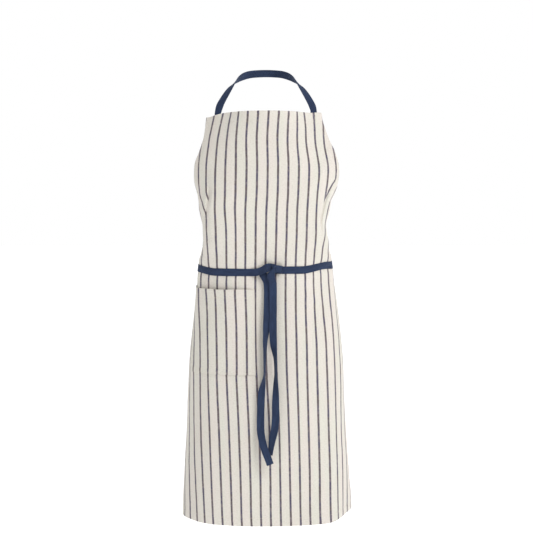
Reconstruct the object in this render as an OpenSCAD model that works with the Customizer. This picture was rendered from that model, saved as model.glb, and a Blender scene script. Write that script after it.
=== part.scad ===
// Butcher apron: a striped cloth bib apron with a neck strap, a patch
// pocket and long waist ties that cross behind and knot in front.
// Millimetres, +Z up, the front faces -Y. The origin is on the inner face
// of the neck strap, where it rests on the back of the neck.
// "u" is measured across the flat cloth from its centre line (+X side
// positive) and "v" down the flat cloth from the bib's top edge.

/* [Cloth] */
// Length of the apron, from the bib's top edge to the hem
apron_length = 900; // [820:5:960]
// Full width of the skirt, side edge to side edge
apron_width = 700; // [640:10:760]
// Width of the bib along its top edge
bib_width = 296; // [280:2:310]
// Depth of the curved armholes, down from the bib's top edge
armhole_depth = 280; // [260:5:300]
// Roundness of the armhole curve
armhole_round = 2.2; // [1.8:0.1:2.6]
// Thickness of the cloth
cloth_t = 1; // [0.8:0.1:1.2]

/* [Hems] */
// Depth of the hem along the bib's top
bib_hem = 25; // [16:1:32]
// Width of the armhole and side hems
side_hem = 12; // [8:1:14]
// Depth of the hem along the foot
foot_hem = 20; // [14:1:26]
// Thickness of a hem's turned-in cloth
hem_t = 1.2; // [1:0.1:1.4]

/* [Pocket] */
// Width of the patch pocket
pocket_w = 162; // [120:2:170]
// Height of the patch pocket
pocket_h = 184; // [150:2:200]
// Distance from the cloth's centre line to the middle of the pocket
pocket_u = 95; // [88:1:110]
// Distance from the bib's top edge down to the pocket's mouth
pocket_v = 388; // [380:2:410]
// How far the mouth of the pocket stands off the apron
pocket_gape = 11; // [8:0.5:13]
// Depth of the hem along the pocket's mouth
pocket_hem = 20; // [14:1:26]

/* [Tapes] */
// Width of the neck strap and the waist ties
tape_w = 16; // [12:1:18]
// Thickness of the tapes
tape_t = 1.6; // [1.2:0.1:1.8]
// Distance between the neck strap's two sewn ends
strap_spacing = 226; // [216:2:240]
// Length of the strap sewn behind the bib's top
strap_sewn = 24; // [16:1:28]
// Height down the cloth at which the ties cross the front
tie_v = 350; // [340:1:360]
// Length of the left tail below the knot
left_tail_length = 392; // [300:2:440]
// Length of the right tail below the knot
right_tail_length = 370; // [300:2:440]

/* [Hidden] */

cream = "Ivory";
navy = "MidnightBlue";

// The worn shape. Each row is one level of the cloth: its v, the height and
// the front-to-back place of its centre line, how far the cloth hangs off
// centre, how far its sides drop, and its heading in plan (0 runs sideways,
// 90 runs straight back) at each distance in KN from the centre.
KN = [0, 50, 80, 110, 140, 155, 170, 195, 225, 260, 300, 350, 380];
ST = [
 [0,   -76,  -150,  4, 13, [0, 24, 50, 20, 38, 42, 46, 50, 56, 60, 66, 70, 70]],
 [60,  -133, -165,  5, 12, [0,  9, 27, 34, 37, 44, 54, 66, 78, 88, 96, 104, 104]],
 [120, -192, -177,  5, 10, [0,  6, 13, 24, 34, 42, 56, 84, 92, 100, 110, 120, 120]],
 [180, -250, -185,  6,  8, [0,  4,  9, 21, 38, 52, 84, 94, 98, 108, 126, 150, 150]],
 [220, -290, -181,  8,  6, [0,  3,  8, 20, 44, 74, 92, 95, 98, 112, 146, 176, 176]],
 [280, -349, -173,  9,  4, [0,  3,  9, 16, 66, 92, 94, 95, 100, 120, 160, 184, 184]],
 [354, -423, -165, 10,  2, [0,  4, 20, 31, 43, 52, 88, 93, 98, 118, 156, 180, 182]],
 [530, -598, -180,  9,  0, [0,  6, 14, 22, 37, 48, 57, 80, 93, 108, 138, 162, 168]],
 [700, -768, -184,  2, -2, [0,  8, 15, 18, 31, 46, 56, 70, 90, 98, 114, 136, 142]],
 [900, -967, -185, -4, -5, [0,  4,  6, 10, 22, 44, 51, 60, 86, 94, 102, 114, 120]],
];
NS = len(ST);
NK = len(KN);

// value, slope and smooth interpolation of column c of the table
function col(i, c) = c < 5 ? ST[i][c] : ST[i][5][c - 5];
function slope(i, c) = let(a = max(i - 1, 0), b = min(i + 1, NS - 1))
  (col(b, c) - col(a, c)) / (ST[b][0] - ST[a][0]);
function find(v, i = 0) = (i >= NS - 2 || v < ST[i + 1][0]) ? i : find(v, i + 1);
function level(v) = let(i = find(v), h = ST[i + 1][0] - ST[i][0],
    s = (v - ST[i][0]) / h, a = 2*s*s*s - 3*s*s + 1, b = s*s*s - 2*s*s + s,
    c = 3*s*s - 2*s*s*s, d = s*s*s - s*s)
  [for (k = [1 : 4 + NK]) a * col(i, k) + b * h * slope(i, k)
     + c * col(i + 1, k) + d * h * slope(i + 1, k)];

// place in plan at distance t along a level whose headings start at r[4]
function plan(t, r, k = 0, x = 0, y = 0) =
  (k >= NK - 1 || t <= KN[k]) ? [x, y] :
  let(L = KN[k + 1] - KN[k], l = (k == NK - 2) ? t - KN[k] : min(t - KN[k], L),
      a0 = r[4 + k], q = (r[5 + k] - a0) / L, a1 = a0 + q * l,
      rad = q * PI / 180,
      dx = abs(q) < 0.001 ? l * cos(a0) : (sin(a1) - sin(a0)) / rad,
      dy = abs(q) < 0.001 ? l * sin(a0) : (cos(a0) - cos(a1)) / rad)
  plan(t, r, k + 1, x + dx, y + dy);

// the cloth's outer face at u on a level, and its outward normal
function on_level(u, r) = let(t = u - r[2], s = t < 0 ? -1 : 1, p = plan(abs(t), r))
  [s * p[0], r[1] + p[1], r[0] - r[3] * min(pow(t / 148, 2), 5.6)];
function unit(a) = a / norm(a);
function normal(u, r0, r1) = unit(cross(on_level(u, r1) - on_level(u, r0),
  on_level(u + 1, r0) - on_level(u - 1, r0)));
// a row of points at one v, each [u, distance off the cloth's outer face]
function row(v, uo) = let(r = level(v), r1 = level(v + 1))
  [for (q = uo) on_level(q[0], r) + q[1] * normal(q[0], r, r1)];
function face(u, v, off = 0) = row(v, [[u, off]])[0];

// half-width of the cloth at v
function half_w(v) = v >= armhole_depth ? apron_width / 2 :
  apron_width / 2 - (apron_width - bib_width) / 2
  * pow(1 - pow(max(v, 0) / armhole_depth, armhole_round), 1 / armhole_round);

// a closed solid between two grids of points, each a list of rows
module between(A, B) {
  n = len(A); m = len(A[0]); K = n * m;
  pts = [for (r = A) each r, for (r = B) each r];
  id = function(i, j) i * m + j;
  f = [
    for (i = [0 : n - 2]) for (j = [0 : m - 2]) each
      [[id(i, j), id(i, j + 1), id(i + 1, j + 1)],
       [id(i, j), id(i + 1, j + 1), id(i + 1, j)],
       [K + id(i, j), K + id(i + 1, j + 1), K + id(i, j + 1)],
       [K + id(i, j), K + id(i + 1, j), K + id(i + 1, j + 1)]],
    for (i = [0 : n - 2]) each
      [[id(i, 0), id(i + 1, 0), K + id(i + 1, 0)],
       [id(i, 0), K + id(i + 1, 0), K + id(i, 0)],
       [id(i, m - 1), K + id(i + 1, m - 1), id(i + 1, m - 1)],
       [id(i, m - 1), K + id(i, m - 1), K + id(i + 1, m - 1)]],
    for (j = [0 : m - 2]) each
      [[id(0, j), K + id(0, j + 1), id(0, j + 1)],
       [id(0, j), K + id(0, j), K + id(0, j + 1)],
       [id(n - 1, j), id(n - 1, j + 1), K + id(n - 1, j + 1)],
       [id(n - 1, j), K + id(n - 1, j + 1), K + id(n - 1, j)]]];
  polyhedron(points = pts, faces = f, convexity = 12);
}

// a layer of cloth over rows V, between columns given by cols(v)
module layer(V, cols, o_out, o_in)
  between([for (v = V) row(v, [for (u = cols(v)) [u, o_out]])],
          [for (v = V) row(v, [for (u = cols(v)) [u, o_in]])]);

// shared columns, as fractions of the half-width between the side hems
CF = [0, 0.12, 0.24, 0.36, 0.46, 0.55, 0.63, 0.7, 0.76, 0.82, 0.87, 0.915, 0.96, 1];
NC = len(CF) - 1;
inner_cols = function(v) let(w = half_w(v) - side_hem)
  [for (k = [-NC : NC]) sign(k) * CF[abs(k)] * w];
all_cols = function(v) let(w = half_w(v))
  [-w, -w + side_hem / 2, each inner_cols(v), w - side_hem / 2, w];
hem_cols_r = function(v) let(w = half_w(v)) [w - side_hem + 0.5, w - side_hem / 2, w];
hem_cols_l = function(v) let(w = half_w(v)) [-w, -w + side_hem / 2, -w + side_hem - 0.5];
// shared rows: even steps round the armhole, then down the skirt
V_bib = [for (a = [0 : 6 : 90]) armhole_depth * pow(sin(a), 2 / armhole_round)];
V_skirt = let(m = armhole_depth + 120)
  [for (k = [1 : 8]) armhole_depth + 15 * k,
   for (k = [1 : 12]) m + (apron_length - foot_hem - m) * k / 12];
V_foot = [apron_length - foot_hem, apron_length - foot_hem / 2, apron_length];
V_top = [0, bib_hem / 2, bib_hem];

module body_panel() color(cream)
  layer(concat(V_top, [for (v = V_bib) if (v > bib_hem + 6) v], V_skirt,
    [apron_length - foot_hem / 2, apron_length]), all_cols, 0, -cloth_t);

o_hem = -cloth_t - 0.6;
module bib_top_hem() color(cream)
  layer(V_top, inner_cols, o_hem, o_hem - hem_t);
module foot_hem() color(cream)
  layer(V_foot, inner_cols, o_hem, o_hem - hem_t);
V_arm = [each V_top, for (v = V_bib) if (v > bib_hem + 6 && v < armhole_depth - 1) v];
module armhole_hem_left() color(cream)
  layer(V_arm, hem_cols_l, o_hem - 0.3, o_hem - 0.3 - hem_t);
module armhole_hem_right() color(cream)
  layer(V_arm, hem_cols_r, o_hem - 0.3, o_hem - 0.3 - hem_t);
V_side = [armhole_depth + 2, each V_skirt, apron_length - foot_hem / 2, apron_length];
module side_hem_left() color(cream)
  layer(V_side, hem_cols_l, o_hem - 0.3, o_hem - 0.3 - hem_t);
module side_hem_right() color(cream)
  layer(V_side, hem_cols_r, o_hem - 0.3, o_hem - 0.3 - hem_t);

// the pocket: a patch whose mouth stands off the apron
pu = -pocket_u;
function lift(a, b) = 0.4 + pocket_gape * sin(180 * a) * pow(1 - b, 1.6);
PA = [for (k = [0 : 14]) k / 14];
PB = [0, 0.055, pocket_hem / pocket_h, 0.18, 0.28, 0.4, 0.52, 0.64, 0.76, 0.88, 1];
module pocket_patch() color(cream) let(
    g = function(o) [for (b = PB) row(pocket_v + b * pocket_h,
      [for (a = PA) [pu + (a - 0.5) * pocket_w, lift(a, b) + o]])])
  between(g(cloth_t), g(0));
module pocket_mouth_hem() color(cream) let(
    g = function(o) [for (b = [PB[0], PB[1], PB[2]]) row(pocket_v + b * pocket_h,
      [for (k = [2 : 12]) [pu + (PA[k] - 0.5) * pocket_w, lift(PA[k], b) + o]])])
  between(g(-0.3), g(-0.3 - hem_t));

// the neck strap: centres and directions across the tape, from the back of
// the neck to the right-hand side of the bib; the left is its mirror
SR = [[0, 0, 0], [18, -3, -0.5], [35, -13, -2], [49, -29, -6], [60, -47, -12],
  [70, -64, -21], [79, -78, -34], [87, -90, -50], [94, -98, -66]];
SW = [[0, 0, 1], [0, 0.05, 1], [-0.1, 0.2, 1], [-0.3, 0.3, 1], [-0.5, 0.25, 0.9],
  [-0.7, 0.15, 0.7], [-0.85, 0, 0.5], [-0.95, -0.15, 0.3], [-0.97, -0.25, 0.12]];
function tan_at(P, k) = unit(P[min(k + 1, len(P) - 1)] - P[max(k - 1, 0)]);
// rows of points over a tape with centres P and across-directions W
function tape_rows(P, W, o) = [for (k = [0 : len(P) - 1]) let(t = tan_at(P, k),
    w = unit(W[k] - (W[k] * t) * t), n = cross(t, w))
  [for (j = [-1, 0, 1]) P[k] + w * tape_w / 2 * j + n * o]];
function mx(a) = [-a[0], a[1], a[2]];
sx = strap_spacing / 2;
o_strap = o_hem - hem_t - 0.2;
// the fold between the strap and the bib's top edge
fold_z = -81;
fold_y = face(sx + 4, 0, o_strap - tape_t / 2)[1];
function strap_foot(s) = let(p = face(s * sx + 4, 0, o_strap - tape_t / 2))
  [p[0], p[1] - tape_t / 2, fold_z + 2];
strap_P = concat([strap_foot(-1)], [for (k = [8 : -1 : 1]) mx(SR[k])], SR, [strap_foot(1)]);
strap_W = concat([[0.93, -0.36, 0]], [for (k = [8 : -1 : 1]) mx(SW[k])], SW, [[-0.93, -0.36, 0]]);
module neck_strap() color(navy) translate([0, tape_t / 2, 0])
  between(tape_rows(strap_P, strap_W, tape_t / 2), tape_rows(strap_P, strap_W, -tape_t / 2));

// the sewn ends of the strap, behind the bib's top hem
module strap_end(s) layer([0.4, bib_hem / 2, strap_sewn],
  function(v) [for (j = [-1, -0.5, 0, 0.5, 1]) s * sx + 4 + j * tape_w / 2], o_strap, o_strap - tape_t);
module neck_strap_end_left() color(navy) strap_end(-1);
module neck_strap_end_right() color(navy) strap_end(1);

// the waist ties. Each is sewn inside one back corner, crosses the gap at
// the back, and runs over the other side of the apron to the knot in front
hw = apron_width / 2;
corner_v = armhole_depth + 3 + tape_w / 2;
o_tie = 1.2;
ease = function(x) let(c = min(max(x, 0), 1)) c * c * (3 - 2 * c);
tie_drop = function(u, s) (s > 0 ? tie_v - 3 - 9 * ease((u - 85) / 65) : tie_v + 2 - 7 * ease((u - 100) / 60))
  - (s > 0 ? 18 : 25) * pow(max(0, (u - 190) / 160), 1.3);
o_end = o_hem - 0.3 - hem_t - 0.3;
// cross-section rows of the tie whose far side is s
function tie_path(s, o) = let(js = s > 0 ? [-1, 0, 1] : [1, 0, -1], n = 7,
    A = [for (j = js) face(-s * (hw + 1), corner_v + j * tape_w / 2, o_end - tape_t + o)],
    B = [for (j = js) face(s * (hw + 1), tie_drop(hw, s) + j * tape_w / 2, o_tie + o)])
  concat(
    [for (k = [0 : n - 1]) let(q = k / n)
      [for (i = [0 : 2]) A[i] * (1 - q) + B[i] * q + [0, s * 7.5 * sin(180 * q), 0]]],
    [for (k = [0 : 29]) let(u = hw + 1 - k * (hw - 18) / 29)
      [for (j = js) face(s * u, tie_drop(u, s) + j * tape_w / 2, o_tie + o)]]);
module tie(s) between(tie_path(s, tape_t), tie_path(s, 0));
module waist_tie_left() color(navy) tie(1);
module waist_tie_right() color(navy) tie(-1);
// the sewn ends of the ties, inside the side hems
module tie_end(s) let(us = [for (k = [0 : 6]) hw - 0.5 - k * 5],
    g = function(o) [for (v = [corner_v - tape_w / 2, corner_v, corner_v + tape_w / 2])
      row(v, [for (u = s > 0 ? [for (k = [6 : -1 : 0]) us[k]] : -us) [u, o]])])
  between(g(o_end), g(o_end - tape_t));
module tie_end_left() color(navy) tie_end(-1);
module tie_end_right() color(navy) tie_end(1);

// the knot: two turns of tape over the tails' roots
knot_y = -178.5;
module turn(P) hull() for (p = P) translate([p[0], knot_y, p[1]]) scale([1, 0.82, 1])
  sphere(r = p[2], $fn = 24);
module knot_turn_left() color(navy) turn([[3, -411, 6.5], [-1, -421, 7], [-5, -430, 5]]);
module knot_turn_right() color(navy) turn([[18, -409, 6.5], [18.5, -420, 7], [20, -430, 5.5]]);

// the tails: a root under the knot that sways about [x, z], then the tail
left_x = 4; right_x = 14; sway_z = -421; lift_z = -450;
left_y = -169.2; right_y = -171.4;
module tail_root(x, y) translate([x, y + tape_t / 2, 0]) rotate([90, 0, 0])
  linear_extrude(tape_t) union() {
    translate([0, sway_z]) circle(d = tape_w, $fn = 48);
    translate([-tape_w / 2, lift_z + 1.6]) square([tape_w, sway_z - lift_z - 1.6]);
  }
module tail_root_left() color(navy) tail_root(left_x, left_y);
module tail_root_right() color(navy) tail_root(right_x, right_y);
// where a tail's middle lies [x, y] at each fraction of its length
LT = [[4, -169.2], [3, -174], [0, -180], [-3, -184], [-7, -188], [-10, -190], [-10, -191], [-5, -192], [4, -192]];
RT = [[14, -171.4], [15, -180], [15, -187], [16, -191], [19, -195], [21, -197], [20, -198], [17, -198], [13, -198]];
module tail(Q, L) let(n = 8, top = lift_z - 1.6, P = [for (k = [0 : n]) [Q[k][0], Q[k][1], top - (L - 12) * k / n]],
    g = function(o) [for (p = P) [for (j = [-1, 0, 1]) p + [j * tape_w / 2, o, 0]]])
  between(g(-tape_t / 2), g(tape_t / 2));
module tail_left() color(navy) tail(LT, left_tail_length);
module tail_right() color(navy) tail(RT, right_tail_length);

// sewing thread: flat runs of stitching on the cloth's outer face, each
// [u, v] to [u, v], joined into one solid set
function run(a, b, n, o = 0.1) = let(d = b - a, w = unit([-d[1], d[0]]) * 0.4,
    g = function(h) [for (k = [0 : n]) let(p = a + d * k / n)
      [face(p[0] - w[0], p[1] - w[1], h), face(p[0] + w[0], p[1] + w[1], h)]])
  [g(o + 0.5), g(o)];
module thread(R) color(cream) {
  pts = [for (r = R) each [for (g = [r[0], r[1]]) each [for (q = g) each q]]];
  off = function(k) k == 0 ? 0 : off(k - 1) + 4 * len(R[k - 1][0]);
  f = [for (k = [0 : len(R) - 1]) let(n = len(R[k][0]), z = off(k), K = z + 2 * n) each [
    for (i = [0 : n - 2]) let(a = z + 2*i, c = K + 2*i) each
      [[a, a + 2, a + 3], [a, a + 3, a + 1], [c, c + 3, c + 2], [c, c + 1, c + 3],
       [a, c + 2, a + 2], [a, c, c + 2], [a + 1, a + 3, c + 3], [a + 1, c + 3, c + 1]],
    [z, z + 1, K + 1], [z, K + 1, K],
    [z + 2*n - 2, K + 2*n - 1, z + 2*n - 1], [z + 2*n - 2, K + 2*n - 2, K + 2*n - 1]]];
  polyhedron(points = pts, faces = f, convexity = 8);
}
function box(u0, u1, v0, v1) = [run([u0, v0], [u1, v0], 2), run([u1, v0 + 1], [u1, v1], 2),
  run([u1 - 1, v1], [u0, v1], 2), run([u0, v1 - 1], [u0, v0 + 1], 2)];
module strap_tack_thread() thread([for (s = [-1, 1]) each
  box(s * sx + 4 - 6, s * sx + 4 + 6, 3, bib_hem - 4)]);
module tie_tack_thread() thread([for (s = [-1, 1]) each
  box(s * (hw - 16) - 12, s * (hw - 16) + 12, corner_v - 6, corner_v + 6)]);
module bib_seam_thread() thread([run([-bib_width / 2 + 12, bib_hem - 2], [bib_width / 2 - 12, bib_hem - 2], 24)]);
module foot_seam_thread() thread([run([-hw + 12, apron_length - foot_hem + 2], [hw - 12, apron_length - foot_hem + 2], 44)]);
module side_seam_thread() thread([for (s = [-1, 1]) run([s * (hw - side_hem + 2), armhole_depth + 26],
  [s * (hw - side_hem + 2), apron_length - 4], 24)]);
// the pocket is sewn down along its two sides and its foot
module pocket_seam_thread() let(a = pu - pocket_w / 2 + 3, b = pu + pocket_w / 2 - 3,
    v0 = pocket_v + 2, v1 = pocket_v + pocket_h - 3)
  thread([for (o = [cloth_t + 1.2]) each [run([a, v0], [a, v1], 16, o), run([a + 1, v1], [b - 1, v1], 14, o),
    run([b, v1], [b, v0], 16, o)]]);

body_panel();
bib_top_hem();
armhole_hem_left();
armhole_hem_right();
side_hem_left();
side_hem_right();
foot_hem();
pocket_patch();
pocket_mouth_hem();
neck_strap();
neck_strap_end_left();
neck_strap_end_right();
waist_tie_left();
waist_tie_right();
tie_end_left();
tie_end_right();
knot_turn_left();
knot_turn_right();
tail_root_left();
tail_root_right();
tail_left();
tail_right();
strap_tack_thread();
tie_tack_thread();
pocket_seam_thread();
bib_seam_thread();
foot_seam_thread();
side_seam_thread();
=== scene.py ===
import bpy
import math
import numpy as np
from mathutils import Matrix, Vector


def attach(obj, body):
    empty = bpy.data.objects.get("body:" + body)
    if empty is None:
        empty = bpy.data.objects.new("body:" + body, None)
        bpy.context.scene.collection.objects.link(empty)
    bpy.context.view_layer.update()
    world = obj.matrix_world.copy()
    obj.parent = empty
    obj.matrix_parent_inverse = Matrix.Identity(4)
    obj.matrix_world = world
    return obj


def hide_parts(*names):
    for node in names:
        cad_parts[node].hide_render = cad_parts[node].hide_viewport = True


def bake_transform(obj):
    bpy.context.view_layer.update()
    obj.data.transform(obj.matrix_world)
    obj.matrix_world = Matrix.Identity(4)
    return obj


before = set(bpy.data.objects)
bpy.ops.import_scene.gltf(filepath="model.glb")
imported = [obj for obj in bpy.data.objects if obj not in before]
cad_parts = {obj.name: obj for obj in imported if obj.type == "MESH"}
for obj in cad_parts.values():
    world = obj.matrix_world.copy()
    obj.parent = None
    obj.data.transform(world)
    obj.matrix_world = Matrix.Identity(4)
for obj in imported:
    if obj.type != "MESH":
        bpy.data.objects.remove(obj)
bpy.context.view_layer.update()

MM = 0.001
rng = np.random.default_rng(11)


# ------------------------------------------------------------------ helpers
def ss(x):
    x = np.clip(x, 0.0, 1.0)
    return x * x * (3 - 2 * x)


def bell(x, c, w):
    return np.exp(-((np.asarray(x, float) - c) / w) ** 2)


def smooth_table(x, knots, vals):
    """monotone-ish cubic through a listed table"""
    x = np.asarray(x, float)
    k = np.asarray(knots, float)
    y = np.asarray(vals, float)
    d = np.diff(y) / np.diff(k)
    m = np.zeros_like(y)
    m[1:-1] = np.where(d[:-1] * d[1:] > 0, 2 * d[:-1] * d[1:] / np.where(d[:-1] + d[1:] == 0, 1, d[:-1] + d[1:]), 0)
    i = np.clip(np.searchsorted(k, x, side="right") - 1, 0, len(k) - 2)
    h = k[i + 1] - k[i]
    s = np.clip((x - k[i]) / h, 0, 1)
    return ((2 * s**3 - 3 * s**2 + 1) * y[i] + (s**3 - 2 * s**2 + s) * h * m[i]
            + (3 * s**2 - 2 * s**3) * y[i + 1] + (s**3 - s**2) * h * m[i + 1])


def unit(a):
    a = np.asarray(a, float)
    return a / np.maximum(np.linalg.norm(a, axis=-1, keepdims=True), 1e-9)


_lat = rng.random((4, 64, 64))


def vnoise(x, y, which=0):
    """smooth value noise, -1 to 1"""
    L = _lat[which % 4]
    x = np.asarray(x, float) + 500
    y = np.asarray(y, float) + 500
    xi = np.floor(x).astype(int)
    yi = np.floor(y).astype(int)
    fx = ss(x - xi)
    fy = ss(y - yi)
    a = L[xi % 64, yi % 64]
    b = L[(xi + 1) % 64, yi % 64]
    c = L[xi % 64, (yi + 1) % 64]
    d = L[(xi + 1) % 64, (yi + 1) % 64]
    return 2 * ((a * (1 - fx) + b * fx) * (1 - fy) + (c * (1 - fx) + d * fx) * fy) - 1


# ------------------------------------------------- the worn shape of the cloth
# The same plan-and-height table as the CAD part, in millimetres.
KN = np.array([0, 50, 80, 110, 140, 155, 170, 195, 225, 260, 300, 350, 380.0])
ST = [
    (0, -76, -150, 4, 13, [0, 24, 50, 20, 38, 42, 46, 50, 56, 60, 66, 70, 70]),
    (60, -133, -165, 5, 12, [0, 9, 27, 34, 37, 44, 54, 66, 78, 88, 96, 104, 104]),
    (120, -192, -177, 5, 10, [0, 6, 13, 24, 34, 42, 56, 84, 92, 100, 110, 120, 120]),
    (180, -250, -185, 6, 8, [0, 4, 9, 21, 38, 52, 84, 94, 98, 108, 126, 150, 150]),
    (220, -290, -181, 8, 6, [0, 3, 8, 20, 44, 74, 92, 95, 98, 112, 146, 176, 176]),
    (280, -349, -173, 9, 4, [0, 3, 9, 16, 66, 92, 94, 95, 100, 120, 160, 184, 184]),
    (354, -423, -165, 10, 2, [0, 4, 20, 31, 43, 52, 88, 93, 98, 118, 156, 180, 182]),
    (530, -598, -180, 9, 0, [0, 6, 14, 22, 37, 48, 57, 80, 93, 108, 138, 162, 168]),
    (700, -768, -184, 2, -2, [0, 8, 15, 18, 31, 46, 56, 70, 90, 98, 114, 136, 142]),
    (900, -967, -185, -4, -5, [0, 4, 6, 10, 22, 44, 51, 60, 86, 94, 102, 114, 120]),
]
VV = np.array([s[0] for s in ST], float)
TT = np.array([list(s[1:5]) + s[5] for s in ST], float)
SL = np.zeros_like(TT)
for _i in range(len(ST)):
    _a, _b = max(_i - 1, 0), min(_i + 1, len(ST) - 1)
    SL[_i] = (TT[_b] - TT[_a]) / (VV[_b] - VV[_a])


def level(v):
    v = np.asarray(v, float)
    i = np.clip(np.searchsorted(VV, v, side="right") - 1, 0, len(VV) - 2)
    h = (VV[i + 1] - VV[i])
    s = (v - VV[i]) / h
    a, b = 2 * s**3 - 3 * s**2 + 1, s**3 - 2 * s**2 + s
    c, d = 3 * s**2 - 2 * s**3, s**3 - s**2
    e = lambda q: q[..., None]
    return e(a) * TT[i] + e(b * h) * SL[i] + e(c) * TT[i + 1] + e(d * h) * SL[i + 1]


def plan(t, H):
    x = np.zeros_like(t)
    y = np.zeros_like(t)
    for k in range(len(KN) - 1):
        L = KN[k + 1] - KN[k]
        l = np.clip(t - KN[k], 0, None if k == len(KN) - 2 else L)
        a0 = np.radians(H[..., k])
        q = (np.radians(H[..., k + 1]) - a0) / L
        a1 = a0 + q * l
        flat = np.abs(q) < 2e-5
        qq = np.where(flat, 1, q)
        x += np.where(flat, l * np.cos(a0), (np.sin(a1) - np.sin(a0)) / qq)
        y += np.where(flat, l * np.sin(a0), (np.cos(a0) - np.cos(a1)) / qq)
    return x, y


def F0(u, v):
    u, v = np.broadcast_arrays(np.asarray(u, float), np.asarray(v, float))
    R = level(v)
    t = u - R[..., 2]
    s = np.where(t < 0, -1.0, 1.0)
    x, y = plan(np.abs(t), R[..., 4:])
    z = R[..., 0] - R[..., 3] * np.minimum((t / 148) ** 2, 5.6)
    return np.stack([s * x, R[..., 1] + y, z], -1), t, s


# where the side folds run, as distance from the middle, and how much cloth
# they swallow, right and left
def fold_at(v, right):
    if right:
        return smooth_table(v, [0, 60, 150, 176, 190, 198, 208, 220, 242, 300, 900], [126, 132, 141, 142, 141, 137, 132, 127, 121, 118, 118])
    return smooth_table(v, [0, 60, 150, 165, 190, 205, 235, 270, 900], [116, 119, 125.5, 127, 128, 130, 136, 139, 139])


def side_push(v, right):
    if right:
        return smooth_table(v, [0, 10, 40, 62, 80, 102, 124, 146, 173, 191, 214, 240, 262, 290, 315, 345, 400, 470, 700, 900],
                            [-6, -6, -1, 5, 10, 11.5, 8, 2, -5, -10, -8.5, -10, -4.5, 1, 0, -1, 0, 1, 2, 3])
    return smooth_table(v, [0, 10, 40, 80, 102, 124, 146, 173, 191, 214, 240, 262, 290, 330, 400, 900],
                        [-2.5, -3, -4.5, -1.5, 2, -.5, -3, -6, -5, -2, -2, 0, 1, 2, 0, -2])


def tie_line(u):
    """height on the cloth, v, of the middle of the waist tie"""
    u = np.asarray(u, float)
    a = np.abs(u)
    r = 347 - 9 * ss((a - 85) / 65) - 18 * np.clip((a - 190) / 160, 0, 1.1) ** 1.3
    l = 352 - 7 * ss((a - 100) / 60) - 25 * np.clip((a - 190) / 160, 0, 1.1) ** 1.3
    return np.where(u > 0, r, l)


def relief(u, v, t, s):
    """small shape along the outward normal: folds, wrinkles, seams"""
    a = np.abs(t)
    right = s > 0
    d = np.zeros_like(a)
    # the tie presses into the cloth, which puffs a little over and under it
    q = v - tie_line(u)
    near = 1 - ss((a - 250) / 80)
    d += near * (-1.3 * bell(q, 0, 8.5) + 1.1 * bell(q, -19, 9) + 0.7 * bell(q, 20, 10))
    # gathers that fan out from the tie
    g = np.sin(u / 8.5 + 0.9 * np.sin(u / 31)) * (0.5 + 0.5 * vnoise(u / 27, 3.1, 1))
    d += 0.55 * g * (bell(q, -17, 15) + 0.8 * bell(q, 18, 17)) * (1 - 0.5 * ss((a - 150) / 60))
    # drag lines towards the sides of the waist
    for (cu, cv, ang, ln, wd, h) in [(96, 300, 34, 60, 7, 0.9), (112, 268, 46, 55, 6, 1.1), (-92, 306, -36, 62, 7, 0.9),
                                     (-106, 272, -48, 52, 6, 1.0), (70, 388, -28, 70, 8, 0.8), (98, 402, -38, 80, 8, 0.9),
                                     (-70, 372, 27, 45, 8, 0.6), (124, 128, 62, 70, 9, 1.2), (-120, 120, -64, 66, 9, 1.1)]:
        ca, sa = math.cos(math.radians(ang)), math.sin(math.radians(ang))
        al = (u - cu) * ca + (v - cv) * -sa
        ac = (u - cu) * sa + (v - cv) * ca
        d += h * bell(ac, 0, wd) * bell(al, 0, ln)
    # long soft rolls down the skirt
    k = ss((v - 400) / 200)
    d += k * (1.0 * np.sin(u / 33 + v / 240 + 0.4) + 0.8 * np.sin(u / 21 - v / 310 + 1.9) * ss((a - 60) / 100))
    # the hem waves near its corners
    k = ss((v - 800) / 100)
    d += k * (1.8 * np.sin(u / 17.5 + 0.6) * ss((a - 90) / 110))
    # general unevenness and crumple
    d += 0.7 * vnoise(u / 46, v / 70, 0) + 0.32 * vnoise(u / 17, v / 26, 1) + 0.14 * vnoise(u / 7.5, v / 9, 2)
    # seams draw the cloth in
    w = half_w(v)
    e = w - np.abs(u)
    d += -0.30 * bell(e, 10, 1.6) * (1 - ss((v - 262) / 8) * (1 - ss((v - 284) / 6)))
    d += 0.16 * np.sin(v / 2.1) * bell(e, 10, 4)
    d += -0.32 * bell(v, 23, 1.6) - 0.35 * bell(v, 882, 1.7)
    d += 0.20 * np.sin(u / 2.3 + 2 * vnoise(u / 30, 0, 3)) * (bell(v, 882, 5) + 0.7 * bell(v, 23, 4))
    return d


def fold_depth(v, a, s):
    """the two side folds above the waist, straight back from the front"""
    right = s > 0
    cr = a - fold_at(v, True)
    cl = a - fold_at(v, False)
    kr = ss((v - 148) / 34) * (1 - ss((v - 236) / 70))
    kl = ss((v - 150) / 30) * (1 - ss((v - 208) / 55))
    rr = kr * (5.0 * bell(cr, 1.5, 5.0) - 1.8 * bell(cr, 13, 8) - 1.5 * bell(cr, -11, 8))
    ll = kl * (4.9 * bell(cl, 1.0, 5.0) - 1.8 * bell(cl, 12.5, 8) - 1.5 * bell(cl, -11, 8))
    return np.where(right, rr, ll)


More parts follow.
